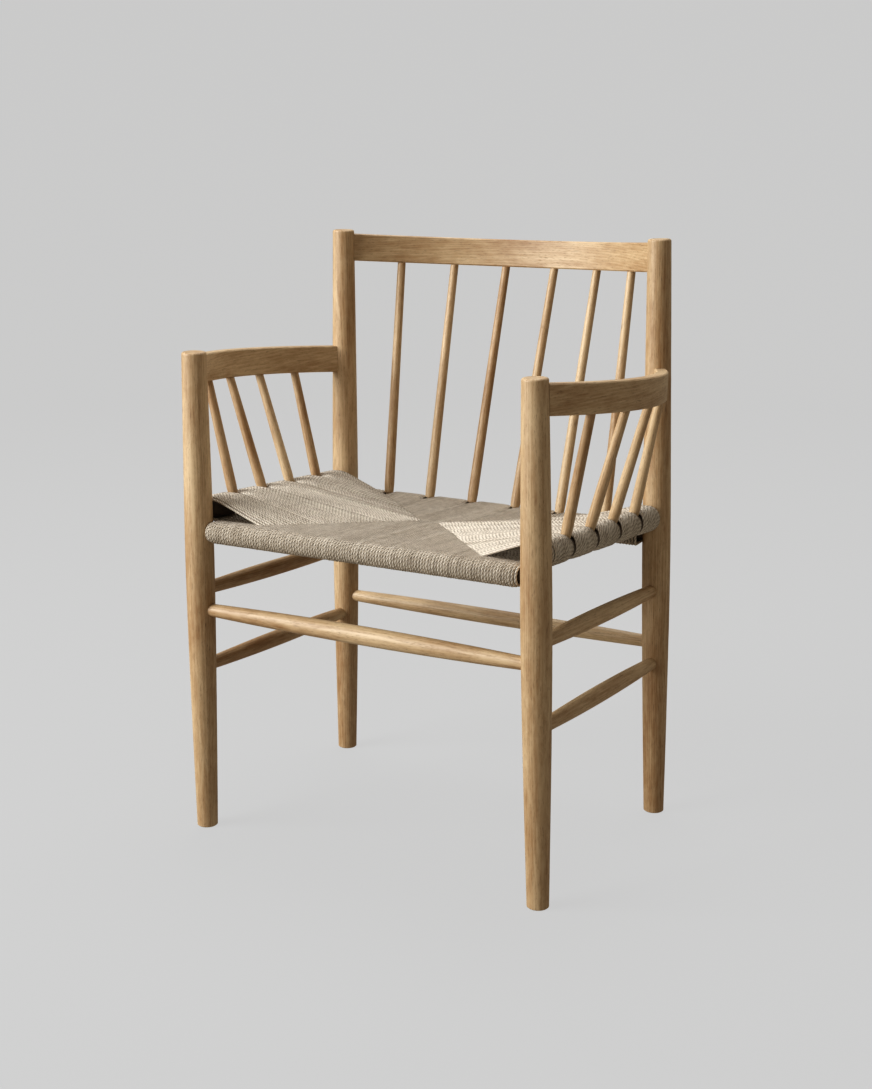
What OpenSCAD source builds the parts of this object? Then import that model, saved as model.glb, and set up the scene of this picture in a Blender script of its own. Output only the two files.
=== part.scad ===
/* [Frame] */
// Distance between the post centres at the top, side to side
width = 495; // [440:5:600]
// How far each front foot stands outside the top of its post
front_splay = 10; // [0:0.5:16]
// How far each back foot stands outside the top of its post
back_splay = 12.5; // [0:0.5:16]
// Distance between the front and back feet, centre to centre
depth = 360; // [320:5:440]
// How far the tops of the front posts lean forward
front_lean = 8; // [0:0.5:12]
// How far the tops of the back posts lean forward
back_lean = 12; // [0:0.5:16]
// Height of the front posts
front_post_h = 661; // [642:1:790]
// Height of the back posts
back_post_h = 802; // [784:1:962]

/* [Posts] */
// Radius at the thickest part of a post
post_r = 19.3; // [17:0.1:24]
// Radius of a foot
foot_r = 14; // [12:0.5:17]
// Radius at the top of a front post
front_top_r = 16.2; // [14.5:0.1:19]
// Radius at the top of a back post
back_top_r = 15.5; // [14:0.1:19]
// Height at which a post is thickest
belly_z = 385; // [370:5:470]
// Radius that rounds off the top and foot of a post
post_round = 3; // [1:0.5:5]

/* [Seat rails] */
// Radius of the bare front rail under the cord
front_rail_r = 11; // [9.8:0.1:13]
// Radius of the bare side and back rails, which hold the spindles
spindle_rail_r = 12.5; // [11:0.1:14]
// Height of the front seat rail
front_rail_z = 422.5; // [400:1:500]
// Height of the back seat rail
back_rail_z = 404; // [380:1:480]
// Height of the side rails where they meet the front posts
side_rail_front_z = 447.5; // [430:1:540]
// Height of the side rails where they meet the back posts
side_rail_back_z = 428.5; // [408:1:520]

/* [Stretchers] */
// Radius of a stretcher or rail where it enters a post
tenon_r = 8.6; // [7:0.1:9.4]
// Radius at the middle of the front stretcher
front_stretcher_r = 12.3; // [9:0.1:15]
// Radius at the middle of the back and side stretchers
stretcher_r = 11.2; // [9:0.1:15]
// Height of the front stretcher
front_stretcher_z = 314; // [280:1:316]
// Height of the back stretcher
back_stretcher_z = 249.5; // [246:0.5:300]
// Heights of the upper side stretchers, at the front and at the back
upper_stretcher_z = [340, 326];
// Heights of the lower side stretchers, at the front and at the back
lower_stretcher_z = [232, 222];
// How far a tenon runs past the middle of its post
tenon_past = 5; // [2:0.5:8]

/* [Crest rail] */
// Height of the crest rail's top edge at the posts
crest_z = 797; // [770:1:798]
// Height of the crest board
crest_h = 39; // [30:1:60]
// Thickness of the crest board
crest_t = 14; // [12.5:0.5:20]
// How far the middle of the crest rail bows back
crest_bow = 121; // [60:1:145]
// How far the crest rail leans back, in degrees
crest_tilt = 4.5; // [0:0.5:10]

/* [Arms] */
// Height of an arm's top edge at the front post
arm_front_z = 654.5; // [630:1:656]
// Height of an arm's top edge at the back post
arm_back_z = 632.5; // [610:1:655]
// Height of the arm board
arm_h = 38; // [30:1:50]
// Thickness of the arm board
arm_t = 16; // [13.5:0.5:20]
// How far the middle of an arm bows outwards
arm_bow = 54; // [20:1:65]

/* [Spindles] */
// Radius of a spindle just above the seat
spindle_low_r = 7.1; // [6:0.1:9]
// Radius of a spindle where it meets a board
spindle_top_r = 5.7; // [5:0.1:6.2]
// Radius of the round tenon at each end of a spindle
spindle_tenon_r = 4.2; // [3.5:0.1:4.6]
// Length of the tenon in a board
spindle_tenon_l = 12; // [8:0.5:16]
// Length of the tenon in a rail, from the rail's crown
spindle_deep = 13; // [9:0.5:16]
// Number of spindles in the back
back_spindles = 6; // [4:1:8]
// Number of spindles under each arm
arm_spindles = 4; // [3:1:5]
// Distance along the back rail from a post's centre to the first spindle
back_rail_margin = 77.5; // [50:0.5:100]
// Distance along the crest rail from a post's centre to the first spindle
crest_margin = 89; // [60:1:110]
// Distance along a side rail from a post's centre to the first spindle
side_rail_margin = 78; // [50:1:95]
// Distance along an arm from a post's centre to the first spindle
arm_margin = 86; // [60:1:105]

/* [Woven seat] */
// Thickness of the cord
cord_d = 3.6; // [3:0.1:4]
// Height of the top of the weave at the middle of the seat
weave_z = 428; // [405:1:500]
// Thickness of the weave at the middle of the seat
weave_t = 11; // [8:0.5:16]
// Radius of the flat patch in the middle of the seat
weave_patch_r = 14; // [8:1:30]
// Width of the gap where the cord parts around a spindle
cord_gap = 4; // [3:0.5:8]

/* [Tacks] */
// Radius of a tack's head
tack_head_r = 3; // [2:0.1:4]
// Thickness of a tack's head
tack_head_t = 1; // [0.8:0.1:2]
// Radius of a tack's shank
tack_shank_r = 0.9; // [0.7:0.1:1.2]
// Length of a tack's shank
tack_shank_l = 11; // [8:0.5:14]
// Distance from a front post's centre to the first tack
tack_margin = 120; // [100:1:150]

/* [Hidden] */

$fn = 48;
// Clearance around a glued tenon, and at its end
fit = 0.1;
end_gap = 0.6;
// Clearance between a shoulder and what it seats on
seat_gap = 0.15;
// Clearance under a spindle's lower shoulder, which leans over the rail
spindle_seat_gap = 1.2;
// Clearance between the cord and the wood
cord_clear = 0.35;
// Amount by which a cutting shape runs past a face
past = 1;
// Chamfer along the edges of a board
board_chamfer = 1.6;
// How much lower and thinner a board's tenon is than the board, on each side
board_shoulder_h = 5;
board_shoulder_t = 3;
// Length over which a rail narrows to its tenon
rail_neck = 16;
// How far above the cord a spindle is thickest, and how much thinner its shoulder is
spindle_swell = 10;
spindle_ease = 0.6;
// Where the taper of a post turns: share of the height below its belly, and of that above it
low_turn = 0.68;
high_turn = 0.16;
// Number of steps in a turned curve and in a rounded edge
turning_steps = 10;
rounding_steps = 3;
// Number of sides in a full turn of a bent board, and of a round edge of the weave
bend_fn = 180;
weave_fn = 32;

front_wrap_r = front_rail_r + cord_d;
spindle_wrap_r = spindle_rail_r + cord_d;

function mix(a, b, t) = a + (b - a) * t;
function unit(v) = v / norm(v);
// Points of a quadratic curve from a to c, drawn towards b
function curve(a, b, c, steps) =
    [for (i = [0:steps]) let (t = i / steps) mix(mix(a, b, t), mix(b, c, t), t)];

// Centre of a post at a height, for the right-hand side before the seat is centred
function front_at(z) =
    [width / 2 + front_splay * (1 - z / front_post_h), -front_lean * z / front_post_h, z];
function back_at(z) =
    [width / 2 + back_splay * (1 - z / back_post_h), depth - back_lean * z / back_post_h, z];
function flip(p) = [-p[0], p[1], p[2]];

// The frame is drawn with the front feet on y = 0, then moved so that its box is centred
front_edge = front_at(belly_z)[1] - post_r;
back_edge = back_at(crest_z)[1] + crest_bow + crest_t / 2;
centre_y = (front_edge + back_edge) / 2;

// Bow of a board between two points: its radius and half its angle
function bow_r(chord, bow) = (chord * chord / 4 + bow * bow) / (2 * bow);
function bow_half(chord, bow) = asin(chord / 2 / bow_r(chord, bow));

crest_a = flip(back_at(crest_z));
crest_b = back_at(crest_z);
crest_out = [0, cos(crest_tilt), -sin(crest_tilt)];
arm_a = back_at(arm_back_z);
arm_b = front_at(arm_front_z);
arm_out = [1, 0, 0];

// Unit vectors of a board: along it, outwards and up
function board_x(a, b) = unit(b - a);
function board_y(a, b, out) = unit(out - board_x(a, b) * (out * board_x(a, b)));
function board_z(a, b, out) = cross(board_x(a, b), board_y(a, b, out));
// Point on the middle surface of a board, at an angle from its middle and a drop below its top
function board_point(a, b, out, bow, angle, drop) =
    let (r = bow_r(norm(b - a), bow))
    (a + b) / 2 + board_x(a, b) * r * sin(angle)
    + board_y(a, b, out) * (r * cos(angle) - r + bow) - board_z(a, b, out) * drop;
// Angle of spindle i of n along a board
function spindle_angle(i, n, a, b, bow, margin) =
    let (r = bow_r(norm(b - a), bow),
         first = bow_half(norm(b - a), bow) - margin / r * 180 / PI)
    -first + 2 * first * (i - 1) / (n - 1);

// Ends of a spindle: the crown of its rail and the middle of its tenon in the board
function back_spindle_foot(i) =
    let (a = flip(back_at(back_rail_z)), b = back_at(back_rail_z),
         first = back_rail_margin / norm(b - a))
    mix(a, b, mix(first, 1 - first, (i - 1) / (back_spindles - 1))) + [0, 0, spindle_rail_r];
function back_spindle_head(i) =
    board_point(crest_a, crest_b, crest_out, crest_bow,
        spindle_angle(i, back_spindles, crest_a, crest_b, crest_bow, crest_margin),
        crest_h - spindle_tenon_l / 2);
function arm_spindle_foot(i) =
    let (a = front_at(side_rail_front_z), b = back_at(side_rail_back_z),
         first = side_rail_margin / norm(b - a))
    mix(a, b, mix(first, 1 - first, (i - 1) / (arm_spindles - 1))) + [0, 0, spindle_rail_r];
function arm_spindle_head(i) =
    board_point(arm_a, arm_b, arm_out, arm_bow,
        -spindle_angle(i, arm_spindles, arm_a, arm_b, arm_bow, arm_margin),
        arm_h - spindle_tenon_l / 2);

// Tacks hold the two ends of the cord inside the side rails
function tack_at() =
    let (a = front_at(side_rail_front_z), b = back_at(side_rail_back_z))
    mix(a, b, tack_margin / norm(b - a));

// Turns the z axis from a towards b
module along(a, b) {
    d = b - a;
    translate(a) rotate([0, acos(d[2] / norm(d)), atan2(d[1], d[0])]) children();
}

// Places a board's own axes in the frame
module board_axes(a, b, out) {
    o = (a + b) / 2;
    x = board_x(a, b);
    y = board_y(a, b, out);
    z = board_z(a, b, out);
    multmatrix([
        [x[0], y[0], z[0], o[0]],
        [x[1], y[1], z[1], o[1]],
        [x[2], y[2], z[2], o[2]],
        [0, 0, 0, 1]]) children();
}

module mirror_for(side) {
    mirror([side < 0 ? 1 : 0, 0, 0]) children();
}

module centred() {
    translate([0, -centre_y, 0]) children();
}

module oak() {
    color([0.72, 0.57, 0.38]) centred() children();
}

module turned(points) {
    rotate_extrude() polygon(points);
}

// Profile of a post along its own axis, grown outwards by a clearance
function post_points(h, top_r, grow) =
    let (low = curve([foot_r, 0], [post_r, belly_z * low_turn], [post_r, belly_z], turning_steps),
         top = h - post_round,
         high = curve([post_r, belly_z], [post_r, mix(belly_z, top, high_turn)], [top_r, top],
                      turning_steps))
    concat(
        [[0, -foot_r]],
        [[foot_r + grow, -foot_r]],
        [for (p = low) [p[0] + grow, p[1]]],
        [for (i = [1:turning_steps]) [high[i][0] + grow, high[i][1]]],
        [for (i = [1:rounding_steps]) let (angle = 90 * i / rounding_steps)
            [top_r - post_round * (1 - cos(angle)) + grow, top + post_round * sin(angle) + grow]],
        [[0, h + grow]]);

module front_post_blank(grow = 0) {
    along(front_at(0), front_at(front_post_h)) turned(post_points(front_post_h, front_top_r, grow));
}

module back_post_blank(grow = 0) {
    along(back_at(0), back_at(back_post_h)) turned(post_points(back_post_h, back_top_r, grow));
}

// What a foot loses: all below the floor, and a rounded edge
module foot_cut(at) {
    translate([at[0], at[1], -2 * foot_r]) cylinder(r = 3 * foot_r, h = 2 * foot_r);
    difference() {
        translate([at[0], at[1], -past]) cylinder(r = 2 * foot_r, h = post_round + past);
        translate([at[0], at[1], -past]) turned(concat(
            [[0, 0]],
            [[foot_r - post_round, 0]],
            [for (i = [0:rounding_steps]) let (angle = 90 * i / rounding_steps)
                [foot_r - post_round + (post_round + end_gap) * sin(angle),
                 past + post_round * (1 - cos(angle))]],
            [[0, post_round + 2 * past]]));
    }
}

// Hole for a round tenon, from well outside the post to just past its middle
module socket(at, from) {
    d = unit(from - at);
    along(at - d * (tenon_past + end_gap), from)
        cylinder(r = tenon_r + fit, h = tenon_past + end_gap + 2 * post_r);
}

// Section of a board, with its four edges chamfered
module board_section(h, t, grow) {
    c = board_chamfer;
    polygon([
        [-t / 2 - grow, -h + c], [-t / 2 + c, -h - grow],
        [t / 2 - c, -h - grow], [t / 2 + grow, -h + c],
        [t / 2 + grow, -c], [t / 2 - c, grow],
        [-t / 2 + c, grow], [-t / 2 - grow, -c]]);
}

// Bent board whose top edge runs through a and b
module bent_board(a, b, out, bow, h, t, grow) {
    r = bow_r(norm(b - a), bow);
    half = bow_half(norm(b - a), bow);
    board_axes(a, b, out) translate([0, bow - r, 0]) rotate([0, 0, 90 - half])
        rotate_extrude(angle = 2 * half, $fn = bend_fn) translate([r, 0]) board_section(h, t, grow);
}

// Thinner strip through the board whose ends are its tenons
module board_tenons(a, b, out, bow, h, t, grow = 0, longer = 0) {
    r = bow_r(norm(b - a), bow);
    half = bow_half(norm(b - a), bow) + (tenon_past + longer) / r * 180 / PI;
    tenon_w = t - 2 * board_shoulder_t + 2 * grow;
    tenon_h = h - 2 * board_shoulder_h + 2 * grow;
    board_axes(a, b, out) translate([0, bow - r, 0]) rotate([0, 0, 90 - half])
        rotate_extrude(angle = 2 * half, $fn = bend_fn)
            translate([r - tenon_w / 2, -board_shoulder_h + grow - tenon_h])
                square([tenon_w, tenon_h]);
}

module spindle_hole(foot, head) {
    l = norm(head - foot);
    along(foot, head) translate([0, 0, l - spindle_tenon_l])
        cylinder(r = spindle_tenon_r + fit, h = 3 * spindle_tenon_l / 2 + end_gap);
}

module spindle_socket(foot, head) {
    along(foot, head) translate([0, 0, -spindle_deep - end_gap])
        cylinder(r = spindle_tenon_r + fit, h = spindle_deep + end_gap + spindle_rail_r);
}

// Barrel-shaped rod between two post centres, with its ends as tenons
module rod(a, b, mid_r) {
    l = norm(b - a);
    inset = post_r + seat_gap;
    side = curve([tenon_r, inset], [2 * mid_r - tenon_r, l / 2], [tenon_r, l - inset],
                 2 * turning_steps);
    along(a, b) turned(concat(
        [[0, -tenon_past]],
        [[tenon_r, -tenon_past]],
        side,
        [[tenon_r, l + tenon_past]],
        [[0, l + tenon_past]]));
}

// Straight rail that narrows to a tenon at each end
module seat_rail_blank(a, b, r, grow = 0) {
    l = norm(b - a);
    inset = post_r + seat_gap;
    along(a, b) turned([
        [0, -tenon_past],
        [tenon_r + grow, -tenon_past],
        [tenon_r + grow, inset],
        [r + grow, inset + rail_neck],
        [r + grow, l - inset - rail_neck],
        [tenon_r + grow, l - inset],
        [tenon_r + grow, l + tenon_past],
        [0, l + tenon_past]]);
}

// Spindle from inside a rail up into a board, whose lower face, drawn wider, trims its shoulder
module spindle(foot, head) {
    l = norm(head - foot);
    shoulder = l - spindle_tenon_l / 2;
    swell = cord_d + spindle_swell;
    difference() {
        along(foot, head) turned([
            [0, -spindle_deep],
            [spindle_tenon_r, -spindle_deep],
            [spindle_tenon_r, spindle_seat_gap],
            [spindle_low_r - spindle_ease, spindle_seat_gap],
            [spindle_low_r, swell],
            [spindle_top_r, shoulder],
            [spindle_top_r, shoulder + spindle_tenon_l / 3],
            [0, shoulder + spindle_tenon_l / 3]]);
        children();
    }
    along(foot, head) cylinder(r = spindle_tenon_r, h = shoulder + spindle_tenon_l);
}

module front_post(side) {
    oak() mirror_for(side) difference() {
        front_post_blank();
        foot_cut(front_at(0));
        socket(front_at(front_stretcher_z), flip(front_at(front_stretcher_z)));
        socket(front_at(front_rail_z), flip(front_at(front_rail_z)));
        socket(front_at(side_rail_front_z), back_at(side_rail_back_z));
        socket(front_at(upper_stretcher_z[0]), back_at(upper_stretcher_z[1]));
        socket(front_at(lower_stretcher_z[0]), back_at(lower_stretcher_z[1]));
        board_tenons(arm_a, arm_b, arm_out, arm_bow, arm_h, arm_t, fit, end_gap);
    }
}

module back_post(side) {
    oak() mirror_for(side) difference() {
        back_post_blank();
        foot_cut(back_at(0));
        socket(back_at(back_stretcher_z), flip(back_at(back_stretcher_z)));
        socket(back_at(back_rail_z), flip(back_at(back_rail_z)));
        socket(back_at(side_rail_back_z), front_at(side_rail_front_z));
        socket(back_at(upper_stretcher_z[1]), front_at(upper_stretcher_z[0]));
        socket(back_at(lower_stretcher_z[1]), front_at(lower_stretcher_z[0]));
        board_tenons(arm_a, arm_b, arm_out, arm_bow, arm_h, arm_t, fit, end_gap);
        board_tenons(crest_a, crest_b, crest_out, crest_bow, crest_h, crest_t, fit, end_gap);
    }
}

module front_rail_blank(grow = 0) {
    seat_rail_blank(flip(front_at(front_rail_z)), front_at(front_rail_z), front_rail_r, grow);
}

module back_rail_blank(grow = 0) {
    seat_rail_blank(flip(back_at(back_rail_z)), back_at(back_rail_z), spindle_rail_r, grow);
}

module side_rail_blank(grow = 0) {
    seat_rail_blank(front_at(side_rail_front_z), back_at(side_rail_back_z), spindle_rail_r, grow);
}

module front_seat_rail() {
    oak() front_rail_blank();
}

module back_seat_rail() {
    oak() difference() {
        back_rail_blank();
        for (i = [1:back_spindles]) spindle_socket(back_spindle_foot(i), back_spindle_head(i));
    }
}

module side_seat_rail(side) {
    oak() mirror_for(side) difference() {
        side_rail_blank();
        for (i = [1:arm_spindles]) spindle_socket(arm_spindle_foot(i), arm_spindle_head(i));
        tack_place() tack(fit);
    }
}

module front_stretcher() {
    oak() rod(flip(front_at(front_stretcher_z)), front_at(front_stretcher_z), front_stretcher_r);
}

module back_stretcher() {
    oak() rod(flip(back_at(back_stretcher_z)), back_at(back_stretcher_z), stretcher_r);
}

module side_stretcher(side, z) {
    oak() mirror_for(side) rod(front_at(z[0]), back_at(z[1]), stretcher_r);
}

module crest_blank(t = crest_t, grow = 0) {
    bent_board(crest_a, crest_b, crest_out, crest_bow, crest_h, t, grow);
}

module crest_rail() {
    oak() difference() {
        union() {
            difference() {
                crest_blank();
                back_post_blank(seat_gap);
                mirror_for(-1) back_post_blank(seat_gap);
            }
            board_tenons(crest_a, crest_b, crest_out, crest_bow, crest_h, crest_t);
        }
        for (i = [1:back_spindles]) spindle_hole(back_spindle_foot(i), back_spindle_head(i));
    }
}

module arm_blank(t = arm_t, grow = 0) {
    bent_board(arm_a, arm_b, arm_out, arm_bow, arm_h, t, grow);
}

module arm(side) {
    oak() mirror_for(side) difference() {
        union() {
            difference() {
                arm_blank();
                front_post_blank(seat_gap);
                back_post_blank(seat_gap);
            }
            board_tenons(arm_a, arm_b, arm_out, arm_bow, arm_h, arm_t);
        }
        for (i = [1:arm_spindles]) spindle_hole(arm_spindle_foot(i), arm_spindle_head(i));
    }
}

module back_spindle(i) {
    oak() spindle(back_spindle_foot(i), back_spindle_head(i)) crest_blank(2 * crest_t, seat_gap);
}

module arm_spindle(side, i) {
    oak() mirror_for(side)
        spindle(arm_spindle_foot(i), arm_spindle_head(i)) arm_blank(2 * arm_t, seat_gap);
}

// A tack driven level into the inner side of a side rail
module tack(grow) {
    rotate([0, 90, 0]) {
        translate([0, 0, -grow]) cylinder(r = tack_shank_r + grow, h = tack_shank_l + 2 * grow);
        translate([0, 0, -tack_head_t - grow])
            cylinder(r = tack_head_r + grow, h = tack_head_t + 2 * grow);
    }
}

module tack_place() {
    translate(tack_at() - [spindle_wrap_r, 0, 0]) children();
}

module cord_tacks() {
    color([0.55, 0.54, 0.52]) centred() {
        tack_place() tack(0);
        mirror_for(-1) tack_place() tack(0);
    }
}

// Room for a spindle and for the parting of the cord beside it
module spindle_room(foot, head, outer) {
    along(foot, head) translate([0, 0, -spindle_low_r])
        cylinder(r = spindle_low_r + cord_clear, h = 4 * spindle_wrap_r);
    translate(foot) rotate([0, 0, atan2(outer[1], outer[0])])
        translate([0, -cord_gap / 2, -3 * spindle_wrap_r])
            cube([2 * spindle_wrap_r, cord_gap, 5 * spindle_wrap_r]);
}

// Quarter of the weave, from the cord around one rail to the middle of the seat
module weave_quarter(a, b, r) {
    middle = (front_at(front_rail_z)[1] + back_at(back_rail_z)[1]) / 2;
    hull() {
        along(a, b) cylinder(r = r, h = norm(b - a), $fn = weave_fn);
        translate([0, middle, weave_z - weave_t]) cylinder(r = weave_patch_r, h = weave_t, $fn = weave_fn);
    }
}

module woven_seat() {
    color([0.75, 0.68, 0.54]) centred() difference() {
        union() {
            weave_quarter(flip(front_at(front_rail_z)), front_at(front_rail_z), front_wrap_r);
            weave_quarter(flip(back_at(back_rail_z)), back_at(back_rail_z), spindle_wrap_r);
            for (side = [-1, 1]) mirror_for(side)
                weave_quarter(front_at(side_rail_front_z), back_at(side_rail_back_z), spindle_wrap_r);
        }
        front_rail_blank(cord_clear);
        back_rail_blank(cord_clear);
        for (i = [1:back_spindles])
            spindle_room(back_spindle_foot(i), back_spindle_head(i), [0, 1, 0]);
        for (side = [-1, 1]) mirror_for(side) {
            front_post_blank(cord_clear);
            back_post_blank(cord_clear);
            side_rail_blank(cord_clear);
            tack_place() tack(cord_clear);
            for (i = [1:arm_spindles])
                spindle_room(arm_spindle_foot(i), arm_spindle_head(i), [1, 0, 0]);
        }
    }
}

front_post(-1);  // front_left_post
front_post(1);  // front_right_post
back_post(-1);  // back_left_post
back_post(1);  // back_right_post
front_seat_rail();
back_seat_rail();
side_seat_rail(-1);  // left_seat_rail
side_seat_rail(1);  // right_seat_rail
front_stretcher();
back_stretcher();
side_stretcher(-1, upper_stretcher_z);  // left_upper_stretcher
side_stretcher(1, upper_stretcher_z);  // right_upper_stretcher
side_stretcher(-1, lower_stretcher_z);  // left_lower_stretcher
side_stretcher(1, lower_stretcher_z);  // right_lower_stretcher
crest_rail();
arm(-1);  // left_arm
arm(1);  // right_arm
for (i = [1:back_spindles])
    back_spindle(i);
for (i = [1:arm_spindles]) {
    arm_spindle(-1, i);
    arm_spindle(1, i);
}
woven_seat();
cord_tacks();
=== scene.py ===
"""Looks for a light oak armchair with a seat of twisted paper cord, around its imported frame."""

import math
import random

import bpy
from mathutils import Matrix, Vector


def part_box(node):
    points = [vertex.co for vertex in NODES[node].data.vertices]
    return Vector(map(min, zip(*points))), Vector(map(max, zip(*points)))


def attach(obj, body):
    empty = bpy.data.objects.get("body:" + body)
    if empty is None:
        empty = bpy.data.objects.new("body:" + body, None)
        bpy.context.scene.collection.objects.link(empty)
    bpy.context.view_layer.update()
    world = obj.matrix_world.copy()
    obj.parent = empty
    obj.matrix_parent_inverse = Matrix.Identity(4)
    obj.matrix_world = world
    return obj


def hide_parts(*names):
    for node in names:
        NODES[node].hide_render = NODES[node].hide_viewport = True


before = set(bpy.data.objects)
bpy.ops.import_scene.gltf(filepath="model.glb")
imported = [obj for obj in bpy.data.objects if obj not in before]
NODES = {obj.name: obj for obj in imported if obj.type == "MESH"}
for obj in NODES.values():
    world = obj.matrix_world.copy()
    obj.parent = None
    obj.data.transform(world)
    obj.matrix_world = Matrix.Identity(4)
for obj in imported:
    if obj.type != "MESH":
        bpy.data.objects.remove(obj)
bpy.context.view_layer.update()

bl_info = {
    "name": "Oak armchair finish",
    "version": (1, 0, 0),
    "blender": (4, 5, 0),
    "location": "View3D > Sidebar > Armchair",
    "description": "Oak grain, a woven paper cord seat and a plain studio for an armchair",
    "category": "Object",
}

# ---------------------------------------------------------- members of the chair

SEAT_NODE = "woven_seat"
TACKS_NODE = "cord_tacks"
CORNER_POST = "front_left_post"
BENT_BOARDS = ("crest_rail", "left_arm", "right_arm")
RAIL_NODES = {side: f"{side}_seat_rail" for side in ("front", "back", "left", "right")}
INWARD = {"front": (0, 1, 0), "back": (0, -1, 0), "left": (1, 0, 0), "right": (-1, 0, 0)}
SPINDLES = {side: [name for name in sorted(NODES)
                   if name.startswith((f"{side}_spindle_", f"{side}_arm_spindle_"))]
            for side in RAIL_NODES}
TENON_PAST = 0.005  # how far a rail's tenon runs past the middle of its post
END_SLICE = 0.001  # depth of the slice of a mesh that counts as its end

# ---------------------------------------------------------------- wood and steel

OAK_GLOSS = 1.0  # specular level of the oiled wood
PITH = (0.035, 0.075)  # nearest and furthest from a member's middle to its tree's middle
RING_WANDER = 0.016  # how far the rings wander to one side along a member
RING_SWAY = 0.012  # how far they wander at right angles to that
RAIL_PAINTED_SHADE = (0.022, 0.012, 0.007, 1)  # painted shade on the rails, where the cord keeps the light off the wood
RAIL_SHADE_SHARE = 0.9  # how much of that painted shade the hidden rails take
STEEL = (0.52, 0.50, 0.47, 1)
DULL_STEEL = (0.36, 0.34, 0.31, 1)

# --------------------------------------------------------------- run of the cord

PLIES = 3
CORD_SIDES = 8  # faces round a strand
HALF_STEPS = 22  # steps along half a strand, from the rail's outer side to its end
WRAP_END = 8 / HALF_STEPS  # share of a strand's half that goes round the rail
RUN_END = 16 / HALF_STEPS  # share at which it turns down into the seam
SEAM_BEND = 1.3  # radius of that turn, in cord radii
UNEVENNESS = 0.00016  # how far a strand strays from its proper place
RIPPLE = 0.0012  # how far the strands ripple sideways between rail and seam
CORD_TO_POST = 0.0003  # gap between a post and the nearest strand
CORD_TO_RAIL = 0.0002  # gap between a rail and the cord round it
CORNER_SINK = 0.0015  # how much thinner each face of the weave is at a seam's corner end
SIDE_OVER = 0.0010  # how far the side panels lie over the others on a seam
SIDE_LIFT = 0.003  # how much higher the cord stands on top of a side rail
SIDE_SHOULDER = 0.015  # how far in from a side rail the cord runs level
SPINDLE_RADIUS = 0.0070  # radius of a spindle where the cord parts round it
PARTING_REACH = 0.027  # how far from a spindle it still pushes the strands aside
TIP_EASE = 0.009  # how near a post a strand starts to sit lower on its rail
TIP_DROP = 0.0016  # how much lower the last strand sits
BAND_DROP = 0.0012  # how much lower the outer strands of a band between spindles sit
BAND_EDGE = 8  # power that keeps this drop near a band's edges
SEAM_OVERLAP = 0.0012  # how far a strand runs past the line of the seam
WAVES = (0.0047, 0.0081, 0.0123)  # lengths over which the strands bunch together
WAVE_SIZE = 0.00045  # how far they bunch
# What each strand carries: how far it reaches in to its seam, the radius of its wrap, the
# heights of its two ends, how far a spindle pushes it, how far it drifts from its place on
# the rail to its place on the seam, and how far it bunches with its neighbours
STRAND_NUMBERS = ("reach", "wrap", "top_end", "low_end", "part", "drift", "bunch")
# What the finished panels no longer need
WORK_ATTRIBUTES = ("rail", *STRAND_NUMBERS, "rise", "stray", "way", "run_length", "around")

# ------------------------------------------------------------------------ studio

BOWL_RINGS = (0.6, 1.5, 4.0)  # radii of the rings of the flat floor
BOWL_CURVE = 2.0  # radius of the curve that lifts the floor into the wall
BOWL_TOP = 5.0  # height of the wall
BOWL_STEPS = 12  # steps in the curve
BOWL_TURNS = 96  # steps round the bowl
FLOOR_PAINT = 0.10  # the floor's paint as a share of its tone, which comes from a glow
FILL_TINT = (1.0, 0.91, 0.77)  # tint of the light that the floor sends back
AIR_TINT = (1.0, 0.97, 0.93, 1)  # tint of the light from all round
SENSOR_WIDTH = 36.0  # millimetres
LIGHTS = {  # place, target, side of the square, share of the key light's power, tint
    "key_light": ((-2.38, -2.62, 1.9), (0, 0, 0.45), 2.3, 1.0, (0.96, 0.985, 1.0)),
    "top_light": ((-0.4, 0.9, 3.2), (0, 0, 0.4), 2.0, 0.30, (0.97, 0.985, 1.0)),
}


# -------------------------------------------------------------------- node trees

class Socket:
    """A value in a node tree. Python's operators on it add Math nodes."""

    def __init__(self, nodes, link):
        self.nodes = nodes
        self.link = link

    def math(self, operation, *values):
        return self.nodes.add("ShaderNodeMath", {"operation": operation}, [self, *values])

    def vector(self, operation, *values):
        slot = "Value" if operation == "DOT_PRODUCT" else "Vector"
        return self.nodes.add("ShaderNodeVectorMath", {"operation": operation},
                              [self, *values], slot)

    def scaled(self, factor):
        """This vector times a number."""
        return self.vector("SCALE", None, None, factor)

    def __add__(self, other):
        return self.math("ADD", other)

    def __sub__(self, other):
        return self.math("SUBTRACT", other)

    def __rsub__(self, other):
        return self.nodes.add("ShaderNodeMath", {"operation": "SUBTRACT"}, [other, self])

    def __mul__(self, other):
        return self.math("MULTIPLY", other)

    def __truediv__(self, other):
        return self.math("DIVIDE", other)

    __radd__ = __add__
    __rmul__ = __mul__

    def ramp(self, low, high, start=0.0, end=1.0):
        """Eased step from start to end, as the value goes from low to high."""
        return self.nodes.add("ShaderNodeMapRange", {"interpolation_type": "SMOOTHSTEP"},
                              {"Value": self, "From Min": low, "From Max": high,
                               "To Min": start, "To Max": end}, "Result")

    def clamped(self):
        """The value, held between 0 and 1."""
        return self.nodes.add("ShaderNodeClamp", {}, {"Value": self}, "Result")


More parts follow.
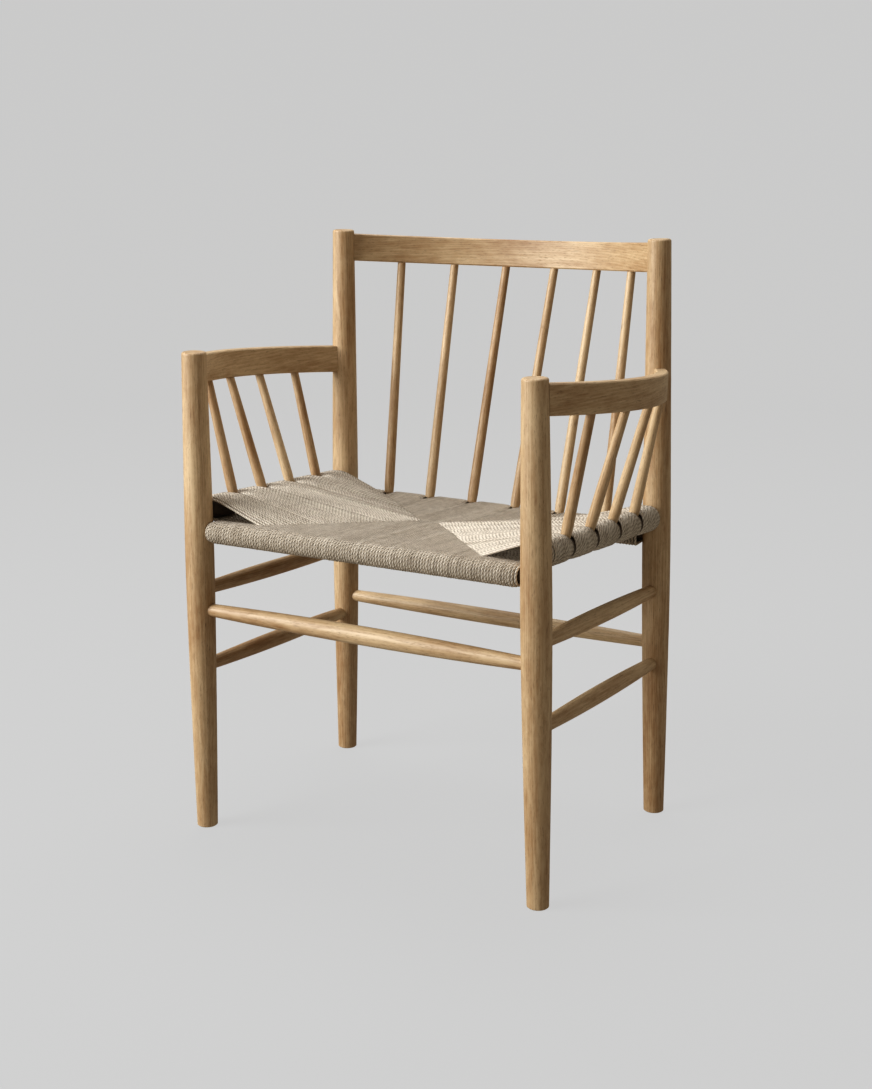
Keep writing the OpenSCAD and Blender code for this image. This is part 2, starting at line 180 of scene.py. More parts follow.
class Nodes:
    """Adds nodes to one tree."""

    def __init__(self, tree):
        self.tree = tree

    def add(self, kind, settings=None, inputs=None, out=0):
        """Adds a node: its settings first, then its sockets' values or links."""
        node = self.tree.nodes.new(kind)
        for name, value in (settings or {}).items():
            setattr(node, name, value)
        pairs = enumerate(inputs) if isinstance(inputs, list) else (inputs or {}).items()
        for key, value in pairs:
            if isinstance(key, int):
                socket = node.inputs[key]
            else:
                socket = next(s for s in node.inputs if s.name == key and s.enabled)
            if isinstance(value, Socket):
                self.tree.links.new(value.link, socket)
            elif value is not None:
                socket.default_value = value
        if not node.outputs:
            return None
        if isinstance(out, int):
            return Socket(self, node.outputs[out])
        return Socket(self, next(s for s in node.outputs if s.name == out and s.enabled))

    def mix_colour(self, factor, low, high):
        return self.add("ShaderNodeMix", {"data_type": "RGBA"},
                        {"Factor": factor, "A": low, "B": high}, "Result")

    def mix(self, factor, low, high):
        return self.add("ShaderNodeMix", {"data_type": "FLOAT"},
                        {"Factor": factor, "A": low, "B": high}, "Result")

    def join(self, x, y, z):
        return self.add("ShaderNodeCombineXYZ", {}, [x, y, z])

    def part(self, vector, axis):
        return self.add("ShaderNodeSeparateXYZ", {}, [vector], axis)

    def noise(self, vector, scale, detail=2.0, roughness=0.5):
        return self.add("ShaderNodeTexNoise", {}, {"Vector": vector, "Scale": scale,
                        "Detail": detail, "Roughness": roughness})

    def bump(self, height, strength, distance):
        return self.add("ShaderNodeBump", {}, {"Strength": strength, "Distance": distance,
                        "Height": height}, "Normal")

    def kept(self, name, kind="FLOAT"):
        """A named attribute of the geometry."""
        return self.add("GeometryNodeInputNamedAttribute", {"data_type": kind},
                        {"Name": name}, "Attribute")

    def keep(self, geometry, name, value, kind="FLOAT"):
        """The geometry with a value stored on its points."""
        return self.add("GeometryNodeStoreNamedAttribute", {"data_type": kind, "domain": "POINT"},
                        {"Geometry": geometry, "Name": name, "Value": value}, "Geometry")


def surface(name, constants):
    """New material with a Principled shader. Constants are what is the same all over it."""
    material = bpy.data.materials.new(name)
    material.use_nodes = True
    material.node_tree.nodes.clear()
    nodes = Nodes(material.node_tree)
    shader = nodes.add("ShaderNodeBsdfPrincipled", {}, constants, "BSDF")
    nodes.add("ShaderNodeOutputMaterial", {}, {"Surface": shader})
    return material, nodes, shader.link.node


def feed(nodes, shader, **values):
    """Links what varies over a surface to the shader."""
    for name, value in values.items():
        nodes.tree.links.new(value.link, shader.inputs[name.replace("_", " ")])


# ------------------------------------------------------------- sizes and colours

def colour(name, description, default):
    return bpy.props.FloatVectorProperty(name=name, description=description, default=default,
                                         subtype="COLOR", size=3, min=0.0, max=1.0)


def length(name, description, default):
    return bpy.props.FloatProperty(name=name, description=description, default=default,
                                   min=0.0, subtype="DISTANCE", unit="LENGTH", precision=4)


def share(name, description, default):
    return bpy.props.FloatProperty(name=name, description=description, default=default,
                                   min=0.0, max=1.0, subtype="FACTOR")


def bearing(name, description, degrees):
    return bpy.props.FloatProperty(name=name, description=description,
                                   default=math.radians(degrees), unit="ROTATION")


def random_seed(description, default):
    return bpy.props.IntProperty(name="Seed", description=description, default=default)


class OakSettings(bpy.types.PropertyGroup):
    pale: colour("Pale wood", "Colour of the summer wood", (0.63, 0.472, 0.288))
    deep: colour("Deep wood", "Colour of the spring wood rings", (0.33, 0.178, 0.068))
    pore: colour("Pores", "Colour of the pores and flecks", (0.15, 0.075, 0.032))
    ring: length("Ring spacing", "Distance between growth rings", 0.0026)
    spread: share("Board to board", "How much the tone differs between members", 0.16)
    seed: random_seed("Choice of boards", 7)


class CordSettings(bpy.types.PropertyGroup):
    # the light cord colour is the paper's own; the dark cord colour is painted shade in the
    # grooves and between the strands, and also the darker spots and patches of the paper
    light: colour("Light cord", "Colour of the tops of the strands", (0.775, 0.705, 0.61))
    dark: colour("Dark cord", "Colour of the grooves between the plies", (0.255, 0.2, 0.142))
    thickness: length("Cord thickness", "Diameter of the cord", 0.0036)
    pitch: length("Pitch", "Distance between strands on a rail", 0.00404)
    gap: length("Gap at a spindle", "Width of the gap where the cord parts", 0.0092)
    lead: length("Lay of the cord", "Length of one full turn of a ply", 0.0150)
    seat_top: length("Middle height", "Top of the weave at the middle", 0.428)
    seat_thickness: length("Middle thickness", "Thickness of the weave at the middle", 0.011)
    middle: length("Middle seam", "Half the length of the seam that joins front and back", 0.0155)
    front_opening: length("Front opening", "How far in from a side rail the weave stands open "
                          "at a front corner", 0.086)
    back_opening: length("Back opening", "The same at a back corner", 0.084)
    seed: random_seed("Choice of small unevenness", 3)


class StudioSettings(bpy.types.PropertyGroup):
    tone: share("Backdrop tone", "Brightness of the floor and backdrop", 0.438)
    key: bpy.props.FloatProperty(name="Key light", description="Power of the main light",
                                 default=137.0, min=0.0, unit="POWER")
    fill: share("Fill", "Strength of the light from all round", 0.225)
    lens: length("Lens", "Focal length of the camera", 0.0549)
    azimuth: bearing("Azimuth", "Turn of the camera", 30.2)
    elevation: bearing("Elevation", "Tilt of the camera", 13.45)
    eye: bpy.props.FloatVectorProperty(name="Camera place", description="Where the camera is",
                                       default=(1.1059, -1.9355, 0.9184), subtype="TRANSLATION",
                                       unit="LENGTH")


# --------------------------------------------------------- places of the members

def end_centre(name, axis, top):
    """Centre of the end of a straight CAD member, at the low or high end of an axis."""
    spots = [v.co.copy() for v in NODES[name].data.vertices]
    edge = (max if top else min)(p[axis] for p in spots)
    near = [p for p in spots if abs(p[axis] - edge) < END_SLICE]
    return Vector(((max(p[i] for p in near) + min(p[i] for p in near)) / 2 for i in range(3)))


def member_line(name):
    """Both end centres of a straight member, along the longest side of its box."""
    low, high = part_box(name)
    axis = max(range(3), key=lambda i: high[i] - low[i])
    return end_centre(name, axis, False), end_centre(name, axis, True)


def member_radius(name):
    """Largest radius of a turned member."""
    a, b = member_line(name)
    run = (b - a).normalized()
    return max(((v.co - a) - run * (v.co - a).dot(run)).length for v in NODES[name].data.vertices)


def rail_line(side):
    """Where a seat rail's axis meets the middles of its two posts."""
    a, b = member_line(RAIL_NODES[side])
    run = (b - a).normalized()
    return a + run * TENON_PAST, b - run * TENON_PAST


# --------------------------------------------------------------------------- oak

def straight_grain(nodes, name):
    """Coordinates along and across a straight member."""
    a, b = member_line(name)
    run = (b - a).normalized()
    side = run.orthogonal().normalized()
    place = nodes.add("ShaderNodeTexCoord", out="Object").vector("SUBTRACT", (a + b) / 2)
    return [place.vector("DOT_PRODUCT", axis) for axis in (run, side, run.cross(side))]


def bent_grain(nodes, name):
    """Coordinates along and across a board that is bent in plan."""
    low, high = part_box(name)
    size = high - low
    middle = (low + high) / 2
    place = nodes.add("ShaderNodeTexCoord", out="Object")
    along, out = (0, 1) if size[0] > size[1] else (1, 0)
    turn = 1 if (along == 0 or middle.x > 0) else -1
    bow = size[out]
    radius = (size[along] ** 2 / 4 + bow ** 2) / (2 * bow)
    tip = high[out] if turn > 0 else low[out]
    parts = [nodes.part(place, axis) for axis in "XYZ"]
    u = parts[along] - middle[along]
    v = (parts[out] - (tip - turn * radius)) * turn
    angle = u.math("ARCTAN2", v)
    reach = (u * u + v * v).math("SQRT")
    slope = (end_centre(name, along, True).z - end_centre(name, along, False).z) / size[along]
    return [angle * radius, reach - radius, parts[2] - middle.z - u * slope]


def oak(name, settings, draw):
    """Oiled oak for one member: rings, pores, flecks and slow changes of tone along it.
    The rails under the cord are painted dark, as painted shade where the cord keeps the light off
    them."""
    material, nodes, shader = surface(f"oak_{name}", {"Specular IOR Level": OAK_GLOSS})
    u, v, w = (bent_grain if name in BENT_BOARDS else straight_grain)(nodes, name)
    shift = [draw.uniform(-5, 5) for _ in range(3)]
    pith_turn = draw.uniform(0, 2 * math.pi)
    pith = draw.uniform(*PITH)
    tone = draw.uniform(-1, 1) * settings.spread
    pale, deep, pore = ((*c, 1) for c in (settings.pale, settings.deep, settings.pore))

    def fibre(along, across, detail=2.0, roughness=0.5):
        """Noise drawn out along the member, scaled by so much along it and across it."""
        spot = nodes.join(u * along + shift[0], v * across + shift[1], w * across + shift[2])
        return nodes.noise(spot, 1.0, detail, roughness)

    wander = (fibre(5.0, 26.0) - 0.5) * RING_WANDER
    sway = (fibre(3.0, 18.0) - 0.5) * RING_SWAY
    to_pith_v = v + wander - pith * math.cos(pith_turn)
    to_pith_w = w + sway - pith * math.sin(pith_turn)
    ring = (to_pith_v * to_pith_v + to_pith_w * to_pith_w).math("SQRT") / settings.ring
    phase = ring.math("FRACT")
    spring = phase.ramp(0.0, 0.28) * phase.ramp(0.55, 1.0, 1.0, 0.0)
    streak = fibre(15.0, 420.0, 3.0, 0.6)
    broad = fibre(8.0, 60.0)
    slow = fibre(4.5, 14.0, 1.0)
    mottle = fibre(60.0, 230.0)
    pores = fibre(170.0, 2600.0, 1.0).ramp(0.60, 0.70) * spring.ramp(0.1, 0.9, 0.25, 1.0)
    flecks = fibre(55.0, 620.0).ramp(0.62, 0.72)
    knots = fibre(16.0, 42.0, 1.0).ramp(0.68, 0.78)
    depth = (spring * 0.15 + (streak - 0.5) + (broad - 0.5) * 1.1 + (slow - 0.5) * 1.1
             + (mottle - 0.5) * 0.7 + (0.32 - tone)).clamped()
    wood = nodes.mix_colour(depth, pale, deep)
    wood = nodes.mix_colour(knots * 0.40, wood, deep)
    wood = nodes.mix_colour((pores * 0.55 + flecks * 0.34).clamped(), wood, pore)
    # painted shade: the rails under the cord are darkened, as the cord keeps the light off them
    if name in RAIL_NODES.values():
        wood = nodes.mix_colour(RAIL_SHADE_SHARE, wood, RAIL_PAINTED_SHADE)
    height = streak * 0.35 - pores - flecks * 0.5 - spring * 0.25
    feed(nodes, shader, Base_Color=wood, Roughness=0.48 + streak * 0.14 + pores * 0.15,
         Normal=nodes.bump(height, 0.35, 0.00025))
    return material


def tack_steel():
    """Plain steel, slightly dulled."""
    material, nodes, shader = surface("tack_steel", {"Metallic": 1.0})
    place = nodes.add("ShaderNodeTexCoord", out="Object")
    dull = nodes.noise(place, 900.0, 3.0)
    feed(nodes, shader, Base_Color=nodes.mix_colour(dull, STEEL, DULL_STEEL),
         Roughness=dull.ramp(0.2, 0.8, 0.30, 0.48))
    return material


# -------------------------------------------------------------------- paper cord

def paper_cord(settings):
    """Twisted plies of pale brown paper, with painted shade in the grooves between the plies and
    on the sides of each strand that face its neighbours. The lay attribute holds a place round a
    strand and its distance along it, and tone holds the strand's shade."""
    material, nodes, shader = surface("paper_cord", {"Sheen Weight": 0.12, "Sheen Roughness": 0.5})
    lay = nodes.add("ShaderNodeAttribute", {"attribute_name": "lay"}, out="Vector")
    tone = nodes.add("ShaderNodeAttribute", {"attribute_name": "tone"}, out="Fac")
    x, y, along = (nodes.part(lay, axis) for axis in "XYZ")
    angle = y.math("ARCTAN2", x)
    turn = angle * PLIES - along * (PLIES * 2 * math.pi / settings.lead) + tone * 40.0
    ply = (turn * 0.5).math("SINE").math("ABSOLUTE")
    # painted shade in the grooves between the plies
    painted_groove_shade = ply.ramp(0.05, 0.80, 1.0, 0.0)
    # painted shade on the sides of a strand that face its neighbours
    painted_crease_shade = (x / (settings.thickness / 2)).math("ABSOLUTE").ramp(0.6, 1.0)
    place = nodes.add("ShaderNodeTexCoord", out="Object")
    crinkle = nodes.noise(place, 900.0, 3.0, 0.6)
    patch = nodes.noise(place, 45.0)
    spot = nodes.noise(nodes.join(along * 90.0, tone * 60.0, 0.0), 1.0)
    depth = (painted_groove_shade * 0.5 + painted_crease_shade * 0.6 + (crinkle - 0.5) * 1.1 + (patch - 0.5) * 0.35
             + (spot - 0.5) * 0.8 + tone * 0.10 - 0.02).clamped()
    feed(nodes, shader,
         Base_Color=nodes.mix_colour(depth, (*settings.light, 1), (*settings.dark, 1)),
         Roughness=0.72 + crinkle * 0.2,
         Normal=nodes.bump(ply.ramp(0.0, 0.8) + crinkle * 0.25, 1.0, 0.0006))
    return material


def new_tree(name, inputs):
    """Geometry node tree with named inputs. Gives the tree, its nodes and its input sockets."""
    tree = bpy.data.node_groups.new(name, "GeometryNodeTree")
    tree.is_modifier = True
    tree.interface.new_socket("Geometry", in_out="INPUT", socket_type="NodeSocketGeometry")
    for label, kind, default in inputs:
        item = tree.interface.new_socket(label, in_out="INPUT", socket_type=kind)
        if default is not None:
            item.default_value = default
    tree.interface.new_socket("Geometry", in_out="OUTPUT", socket_type="NodeSocketGeometry")
    nodes = Nodes(tree)
    entry = tree.nodes.new("NodeGroupInput")
    given = {s.name: Socket(nodes, s) for s in entry.outputs if s.name}
    return tree, nodes, given


def strand_path(nodes, given, position):
    """Place of each point of a strand. Its way runs from -1 at the strand's lower end, by 0
    at the rail's outer side, to 1 at its upper end."""
    way = nodes.kept("way")
    size = way.math("ABSOLUTE")
    side = way.math("SIGN")
    bend = (way / WRAP_END).math("MAXIMUM", -1.0).math("MINIMUM", 1.0) * (math.pi / 2)
    run = ((size - WRAP_END) / (RUN_END - WRAP_END)).clamped()
    dive = ((size - RUN_END) / (1 - RUN_END)).clamped()
    turn = (dive * 2.0).clamped() * (math.pi / 2)
    drop = (dive * 2.0 - 1.0).clamped()

    rise = nodes.kept("rise")
    wrap = nodes.kept("wrap") + rise
    rail = nodes.kept("rail", "FLOAT_VECTOR")
    seam_bend = given["Seam Bend"]
    shoulder = given["Shoulder"]
    top, low = nodes.kept("top_end"), nodes.kept("low_end")
    half = (top - low) * 0.5
    full_run = nodes.kept("reach") - seam_bend
    level = run * full_run
    inward = level + turn.math("SINE") * seam_bend - wrap * bend.math("COSINE")

    slope = ((level - shoulder) / (full_run - shoulder)).clamped()
    climb = bend.math("SINE") * 0.5 + 0.5
    start = wrap * bend.math("SINE") + nodes.part(rail, "Z") + given["Lift"] * climb
    end = nodes.mix(climb, low, top) + rise
    height = (nodes.mix(slope, start, end)
              - side * (seam_bend * (1.0 - turn.math("COSINE")) + drop * (half - seam_bend)))

    near_crown = bend.ramp(0.30, 0.95) * inward.ramp(0.006, 0.022, 1.0, 0.0)
    past_gap = inward.ramp(0.004, 0.026)
    ripple = (nodes.noise(position, 60.0, 1.0) - 0.5) * RIPPLE * run
    sideways = (nodes.kept("part") * near_crown + nodes.kept("drift") * past_gap
                + nodes.kept("stray") + nodes.kept("bunch") * run.ramp(0.0, 0.8) + ripple)
    flat = nodes.join(nodes.part(rail, "X"), nodes.part(rail, "Y"), 0.0)
    return (flat.vector("ADD", given["Inward"].scaled(inward))
            .vector("ADD", given["Along"].scaled(sideways))
            .vector("ADD", nodes.join(0.0, 0.0, height)))


def strand_tree(settings):
    """Tree that draws one strand of cord from each point of a mesh: out along the underside
    from the seam, round the rail, back along the top, and down into the seam. A point's own
    attributes say how far the strand reaches and how high it ends."""
    radius = settings.thickness / 2
    tree, nodes, given = new_tree("cord_strands", [
        ("Cord Radius", "NodeSocketFloat", radius),
        ("Sides", "NodeSocketInt", CORD_SIDES),
        ("Steps", "NodeSocketInt", 2 * HALF_STEPS + 1),
        ("Seam Bend", "NodeSocketFloat", radius * SEAM_BEND),
        ("Unevenness", "NodeSocketFloat", UNEVENNESS),
        ("Lift", "NodeSocketFloat", 0.0),
        ("Shoulder", "NodeSocketFloat", 0.0),
        ("Seed", "NodeSocketInt", settings.seed),
        ("Inward", "NodeSocketVector", None),
        ("Along", "NodeSocketVector", None),
        ("Material", "NodeSocketMaterial", None)])

    def chance(offset):
        """A random number from -1 to 1 for each strand."""
        return nodes.add("FunctionNodeRandomValue", {"data_type": "FLOAT"},
                         {"Min": -1.0, "Max": 1.0, "Seed": given["Seed"] + offset}, "Value")

    points = nodes.keep(given["Geometry"], "tone", chance(0))
    points = nodes.keep(points, "rise", given["Unevenness"] * chance(11))
    points = nodes.keep(points, "stray", given["Unevenness"] * chance(23))

    line = nodes.add("GeometryNodeCurvePrimitiveLine", {}, {"Start": (-1, 0, 0), "End": (1, 0, 0)})
    line = nodes.add("GeometryNodeResampleCurve", {"mode": "COUNT"},
                     {"Curve": line, "Count": given["Steps"]})
    position = nodes.add("GeometryNodeInputPosition")
    line = nodes.keep(line, "way", nodes.part(position, "X"))
    strands = nodes.add("GeometryNodeInstanceOnPoints", {}, {"Points": points, "Instance": line})
    strands = nodes.add("GeometryNodeRealizeInstances", {}, {"Geometry": strands})
    strands = nodes.add("GeometryNodeSetPosition", {}, {
        "Geometry": strands, "Position": strand_path(nodes, given, position)})
    strands = nodes.keep(strands, "run_length",
                         nodes.add("GeometryNodeSplineParameter", out="Length"))

    ring = nodes.add("GeometryNodeCurvePrimitiveCircle", {"mode": "RADIUS"},
                     {"Resolution": given["Sides"], "Radius": given["Cord Radius"]})
    ring = nodes.keep(ring, "around", position, "FLOAT_VECTOR")
    tube = nodes.add("GeometryNodeCurveToMesh", {},
                     {"Curve": strands, "Profile Curve": ring, "Fill Caps": True})
    around = nodes.kept("around", "FLOAT_VECTOR")
    lay = nodes.join(nodes.part(around, "X"), nodes.part(around, "Y"), nodes.kept("run_length"))
    tube = nodes.keep(tube, "lay", lay, "FLOAT_VECTOR")
    tube = nodes.add("GeometryNodeSetShadeSmooth", {}, {"Geometry": tube})
    tube = nodes.add("GeometryNodeRealizeInstances", {}, {"Geometry": tube})
    tube = nodes.add("GeometryNodeSetMaterial", {},
                     {"Geometry": tube, "Material": given["Material"]})
    nodes.add("NodeGroupOutput", {}, [tube])
    return tree


def set_input(modifier, name, value):
    """Sets a modifier's input by its socket's identifier."""
    item = next(i for i in modifier.node_group.interface.items_tree
                if i.item_type == "SOCKET" and i.in_out == "INPUT" and i.name == name)
    modifier[item.identifier] = value


def point_mesh(name, columns):
    """Object with a point for each strand, which carries the strand's own numbers."""
    mesh = bpy.data.meshes.new(name)
    mesh.from_pydata(columns["rail"], [], [])
    rail = mesh.attributes.new("rail", "FLOAT_VECTOR", "POINT")
    rail.data.foreach_set("vector", [c for point in columns["rail"] for c in point])
    for number in STRAND_NUMBERS:
        column = mesh.attributes.new(number, "FLOAT", "POINT")
        column.data.foreach_set("value", columns[number])
    points = bpy.data.objects.new(name, mesh)
    bpy.context.collection.objects.link(points)
    return points


def plain_mesh(live, name):
    """Turns an object's live geometry into a plain mesh on a new object, and drops the old one."""
    graph = bpy.context.evaluated_depsgraph_get()
    mesh = bpy.data.meshes.new_from_object(live.evaluated_get(graph), depsgraph=graph)
    source = live.data
    bpy.data.objects.remove(live)
    bpy.data.meshes.remove(source)
    mesh.name = name
    for attribute in [a.name for a in mesh.attributes if a.name in WORK_ATTRIBUTES]:
        mesh.attributes.remove(mesh.attributes[attribute])
    made = bpy.data.objects.new(name, mesh)
    bpy.context.collection.objects.link(made)
    return made


class Seat:
    """Lines of the weave: its rails, the seams between its panels, and their heights."""

    def __init__(self, settings):
        self.settings = settings
        self.radius = settings.thickness / 2
        self.rails = {side: rail_line(side) for side in RAIL_NODES}
        self.rail_r = {side: member_radius(name) for side, name in RAIL_NODES.items()}
        self.first = member_radius(CORNER_POST) + self.radius + CORD_TO_POST
        self.middle_y = sum(p.y for side in ("front", "back") for p in self.rails[side]) / 4
        self.centre_top = settings.seat_top - self.radius
        self.centre_low = settings.seat_top - settings.seat_thickness + self.radius

    def corner(self, end):
        """Where a seam starts, by the end of the opening at a corner: how far out, and its y."""
        opening = self.settings.front_opening if end == "front" else self.settings.back_opening
        axis = self.rails[end][0]
        return abs(axis.x) - opening, axis.y + (1 if end == "front" else -1) * self.first

    def seam_share(self, end, x=None, y=None):
        """How far along a seam a place is, from 0 at the corner to 1 at the middle."""
        corner_x, corner_y = self.corner(end)
        if x is not None:
            u = (corner_x - abs(x)) / (corner_x - self.settings.middle)
        else:
            u = (y - corner_y) / (self.middle_y - corner_y)
        return min(max(u, 0.0), 1.0)

    def seam_place(self, end, u):
        """How far out a seam is, and its y, at a share of its way."""
        corner_x, corner_y = self.corner(end)
        return (corner_x + (self.settings.middle - corner_x) * u,
                corner_y + (self.middle_y - corner_y) * u)

    def seam_heights(self, end, u):
        """Heights of the top and lower strands on a seam."""
        axis = self.rails[end][0].z
        wrap = self.rail_r[end] + self.radius - CORNER_SINK
        return (axis + wrap + (self.centre_top - axis - wrap) * u,
                axis - wrap + (self.centre_low - axis + wrap) * u)

    def spindle_spots(self, side):
        """Where the spindles pass the cord on top of a rail, as distances along it."""
        a, b = self.rails[side]
        run = (b - a).normalized()
        spots = []
        for name in SPINDLES[side]:
            foot, head = member_line(name)
            along = (foot - a).dot(run) / (b - a).length
            crown = a.z + (b.z - a.z) * along + self.rail_r[side]
            lean = (head - foot) / (head.z - foot.z)
            spots.append(((foot + lean * (crown + self.radius - foot.z)) - a).dot(run))
        return sorted(spots)

    def strand_spots(self, total, spots):
        """Places of the strands along a rail, in bands that part at the spindles, each with
        its share of the way across its band."""
        rest = self.settings.gap / 2 + self.radius
        edges = [self.first]
        for spot in spots:
            edges += [spot - rest, spot + rest]
        edges.append(total - self.first)
        places = []
        for low, high in zip(edges[::2], edges[1::2]):
            steps = max(1, round((high - low) / self.settings.pitch))
            places += [(low + (high - low) * k / steps, k / steps) for k in range(steps + 1)]
        return places

    def parting(self, place, spots):
        """How far a strand is pushed aside by the nearest spindle, on top of the rail."""
        if not spots:
            return 0.0
        offset = place - min(spots, key=lambda spot: abs(place - spot))
        rest = self.settings.gap / 2 + self.radius
        needed = SPINDLE_RADIUS + self.radius
        if abs(offset) >= PARTING_REACH:
            return 0.0
        pushed = needed + (abs(offset) - rest) * (PARTING_REACH - needed) / (PARTING_REACH - rest)
        return math.copysign(pushed, offset) - offset

    def strands(self, side, draw):
        """Direction of a panel's rail, and its strands' own numbers as columns for the points."""
        a, b = self.rails[side]
        run = (b - a).normalized()
        total = (b - a).length
        spots = self.spindle_spots(side)
        places = self.strand_spots(total, spots)
        last = len(places) - 1
        phases = [draw.uniform(0, 2 * math.pi) for _ in WAVES]
        columns = {name: [] for name in ("rail", *STRAND_NUMBERS)}
        for index, (place, in_band) in enumerate(places):
            point = a + run * place
            level = self.first + (total - 2 * self.first) * index / last
            across = a + run * level
            if side in ("front", "back"):
                u = self.seam_share(side, x=across.x)
                reach = abs(self.seam_place(side, u)[1] - point.y)
                top, low = self.seam_heights(side, u)
            else:
                end = "front" if across.y < self.middle_y else "back"
                u = self.seam_share(end, y=across.y)
                reach = abs(point.x) - self.seam_place(end, u)[0]
                top, low = self.seam_heights(end, u)
                top += SIDE_OVER
            tip = max(0.0, 1 - min(place - self.first, total - self.first - place) / TIP_EASE)
            edge = abs(2 * in_band - 1) ** BAND_EDGE if spots else 0.0
            wave = sum(math.sin(level / size + phase) for size, phase in zip(WAVES, phases))
            calm = min(u, 1 - abs(2 * index / last - 1))
            row = {
                "rail": point,
                "reach": reach + SEAM_OVERLAP,
                "wrap": (self.rail_r[side] + self.radius + CORD_TO_RAIL
                         - TIP_DROP * tip ** 2 - BAND_DROP * edge),
                "top_end": top,
                "low_end": low,
                "part": self.parting(place, spots),
                "drift": level - place,
                "bunch": WAVE_SIZE * wave * calm,
            }
            for name, value in row.items():
                columns[name].append(value)
        return run, columns


def weave_panel(seat, side, tree, material, draw):
    """One of the four panels of the seat."""
    run, columns = seat.strands(side, draw)
    points = point_mesh(f"seat_{side}_points", columns)
    modifier = points.modifiers.new("strands", "NODES")
    modifier.node_group = tree
    beside = side in ("left", "right")
    set_input(modifier, "Inward", Vector(INWARD[side]))
    set_input(modifier, "Along", run)
    set_input(modifier, "Lift", SIDE_LIFT if beside else 0.0)
    set_input(modifier, "Shoulder", SIDE_SHOULDER if beside else 0.0)
    set_input(modifier, "Seed", seat.settings.seed + len(side))
    set_input(modifier, "Material", material)
    return plain_mesh(points, f"seat_{side}_cords")


# ------------------------------------------------------------------------ studio

def area_light(name, power, place, target, side, tint):
    """Square light that looks at a point."""
    light = bpy.data.lights.new(name, "AREA")
    light.shape = "SQUARE"
    light.size = side
    light.energy = power
    light.color = tint
    lamp = bpy.data.objects.new(name, light)
    lamp.location = place
    lamp.rotation_euler = (Vector(target) - Vector(place)).to_track_quat("-Z", "Y").to_euler()
    bpy.context.collection.objects.link(lamp)


def bowl_profile():
    """Radius and height of each ring of the floor, out from the middle and up the wall."""
    flat = BOWL_RINGS[-1]
    profile = [(ring, 0.0) for ring in BOWL_RINGS]
    for step in range(1, BOWL_STEPS + 1):
        turn = math.pi / 2 * step / BOWL_STEPS
        profile.append((flat + BOWL_CURVE * math.sin(turn), BOWL_CURVE * (1 - math.cos(turn))))
    profile.append((flat + BOWL_CURVE, BOWL_TOP))
    return profile


def studio_bowl(tone, fill):
    """Round floor that curves up into a wall, the same on every side. It looks evenly lit,
    and sends back only its share of fill light."""
    profile = bowl_profile()
    turns = [2 * math.pi * k / BOWL_TURNS for k in range(BOWL_TURNS)]
    corners = [(0.0, 0.0, 0.0)]
    corners += [(r * math.cos(t), r * math.sin(t), z) for r, z in profile for t in turns]
    following = [(k + 1) % BOWL_TURNS for k in range(BOWL_TURNS)]
    faces = [(0, 1 + k, 1 + n) for k, n in enumerate(following)]
    for ring in range(len(profile) - 1):
        inner = 1 + ring * BOWL_TURNS
        outer = inner + BOWL_TURNS
        faces += [(inner + k, outer + k, outer + n, inner + n) for k, n in enumerate(following)]
    mesh = bpy.data.meshes.new("studio_floor")
    mesh.from_pydata(corners, [], faces)
    mesh.polygons.foreach_set("use_smooth", [True] * len(mesh.polygons))
    paint = tone * FLOOR_PAINT
    material, nodes, shader = surface("studio_grey", {
        "Base Color": (paint, paint, paint, 1), "Roughness": 0.9, "Specular IOR Level": 0.0,
        "Emission Strength": 1.0})
    seen = nodes.add("ShaderNodeLightPath", out="Is Camera Ray")
    sent_back = (*(fill * c for c in FILL_TINT), 1)
    feed(nodes, shader, Emission_Color=nodes.mix_colour(seen, sent_back, (tone, tone, tone, 1)))
    mesh.materials.append(material)
    floor = bpy.data.objects.new("studio_floor", mesh)
    bpy.context.collection.objects.link(floor)
    return floor


def studio_air(fill):
    """World that lights the chair evenly from all round."""
    world = bpy.data.worlds.new("studio_air")
    world.use_nodes = True
    back = world.node_tree.nodes["Background"]
    back.inputs["Color"].default_value = AIR_TINT
    back.inputs["Strength"].default_value = fill
    return world


def studio_camera(settings):
    """Level camera, turned and tilted by the settings."""
    lens = bpy.data.cameras.new("camera")
    lens.sensor_fit = "AUTO"
    lens.sensor_width = SENSOR_WIDTH
    lens.lens = settings.lens * 1000
    camera = bpy.data.objects.new("camera", lens)
    camera.location = settings.eye
    camera.rotation_euler = (math.pi / 2 - settings.elevation, 0.0, settings.azimuth)
    bpy.context.collection.objects.link(camera)
    return camera


# --------------------------------------------------------------------- operators

class ARMCHAIR_OT_oak(bpy.types.Operator):
    """Give every wooden member its own piece of oak"""
    bl_idname = "armchair.oak"
    bl_label = "Oak members"

    def execute(self, context):
        settings = context.scene.armchair_oak
        draw = random.Random(settings.seed)
        for name in sorted(NODES):
            if name in (SEAT_NODE, TACKS_NODE):
                continue
            NODES[name].data.materials.clear()
            NODES[name].data.materials.append(oak(name, settings, draw))
        return {"FINISHED"}


class ARMCHAIR_OT_tacks(bpy.types.Operator):
    """Give the tacks that hold the cord their steel"""
    bl_idname = "armchair.tacks"
    bl_label = "Tacks"

    def execute(self, context):
        tacks = NODES[TACKS_NODE]
        tacks.data.materials.clear()
        tacks.data.materials.append(tack_steel())
        return {"FINISHED"}


class ARMCHAIR_OT_seat(bpy.types.Operator):
    """Weave the four panels of the cord seat"""
    bl_idname = "armchair.seat"
    bl_label = "Woven seat"

    def execute(self, context):
        settings = context.scene.armchair_cord
        seat = Seat(settings)
        cord = paper_cord(settings)
        tree = strand_tree(settings)
        draw = random.Random(settings.seed)
        for side in RAIL_NODES:
            panel = weave_panel(seat, side, tree, cord, draw)
            if not panel.data.polygons:
                raise RuntimeError(f"the {side} panel of the seat came out empty")
            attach(panel, "root")
            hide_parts(SEAT_NODE)
        return {"FINISHED"}


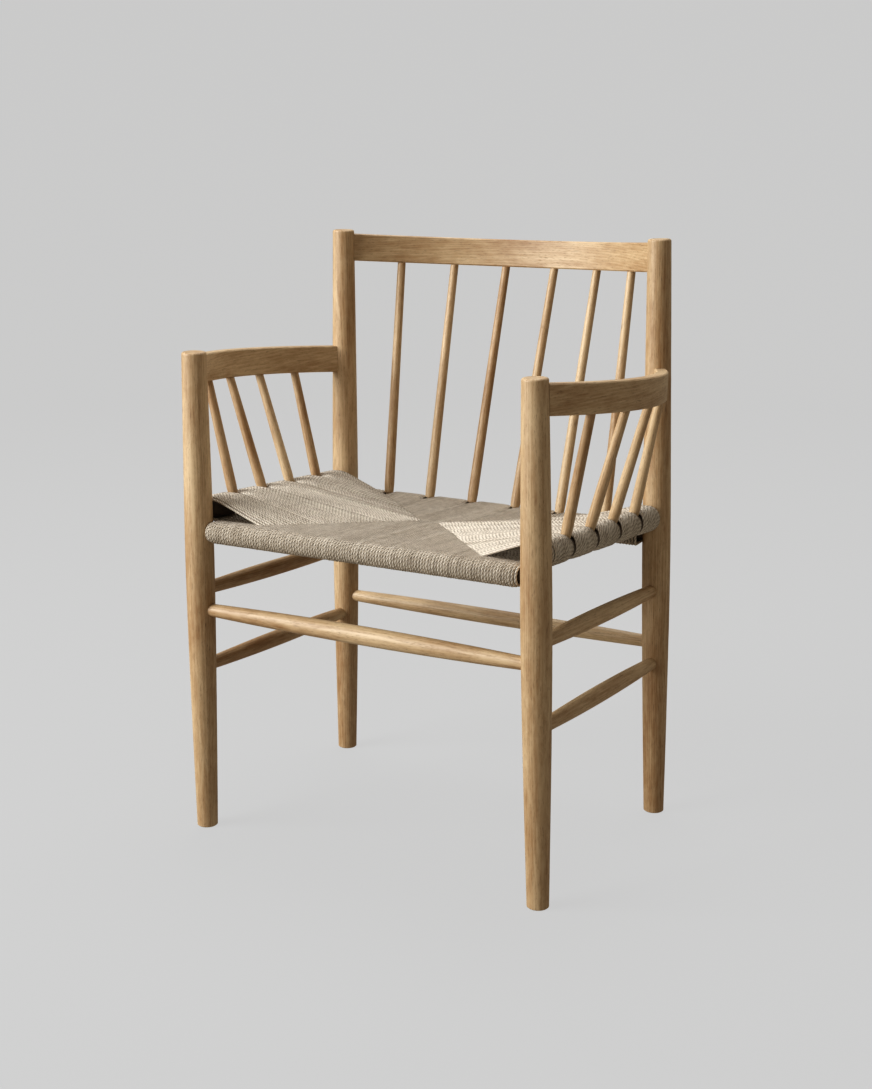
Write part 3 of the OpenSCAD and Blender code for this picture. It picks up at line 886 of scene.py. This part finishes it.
class ARMCHAIR_OT_studio(bpy.types.Operator):
    """Set up the plain floor, the soft light and the camera"""
    bl_idname = "armchair.studio"
    bl_label = "Studio"

    def execute(self, context):
        settings = context.scene.armchair_studio
        scene = context.scene
        studio_bowl(settings.tone, settings.fill)
        for name, (place, target, side, power, tint) in LIGHTS.items():
            area_light(name, settings.key * power, place, target, side, tint)
        scene.world = studio_air(settings.fill)
        scene.camera = studio_camera(settings)
        scene.view_settings.view_transform = "Standard"
        scene.view_settings.look = "High Contrast"
        return {"FINISHED"}


# ------------------------------------------------------------------------- panel

class ARMCHAIR_PT_panel(bpy.types.Panel):
    """Sizes and colours of the armchair"""
    bl_idname = "ARMCHAIR_PT_panel"
    bl_label = "Oak armchair"
    bl_space_type = "VIEW_3D"
    bl_region_type = "UI"
    bl_category = "Armchair"

    def draw(self, context):
        for name, (group, operators) in GROUPS.items():
            box = self.layout.box()
            for setting in group.__annotations__:
                box.prop(getattr(context.scene, name), setting)
            for operator in operators:
                box.operator(operator.bl_idname)


GROUPS = {  # each group of settings, with the operators that use it
    "armchair_oak": (OakSettings, (ARMCHAIR_OT_oak, ARMCHAIR_OT_tacks)),
    "armchair_cord": (CordSettings, (ARMCHAIR_OT_seat,)),
    "armchair_studio": (StudioSettings, (ARMCHAIR_OT_studio,)),
}
CLASSES = (OakSettings, CordSettings, StudioSettings, ARMCHAIR_OT_oak, ARMCHAIR_OT_tacks,
           ARMCHAIR_OT_seat, ARMCHAIR_OT_studio, ARMCHAIR_PT_panel)


def register():
    for made in CLASSES:
        bpy.utils.register_class(made)
    for name, (group, _) in GROUPS.items():
        setattr(bpy.types.Scene, name, bpy.props.PointerProperty(type=group))


def unregister():
    for name in GROUPS:
        delattr(bpy.types.Scene, name)
    for made in reversed(CLASSES):
        bpy.utils.unregister_class(made)


def main():
    register()
    bpy.ops.armchair.oak()
    bpy.ops.armchair.tacks()
    bpy.ops.armchair.seat()
    bpy.ops.armchair.studio()


if __name__ == "__main__":
    main()
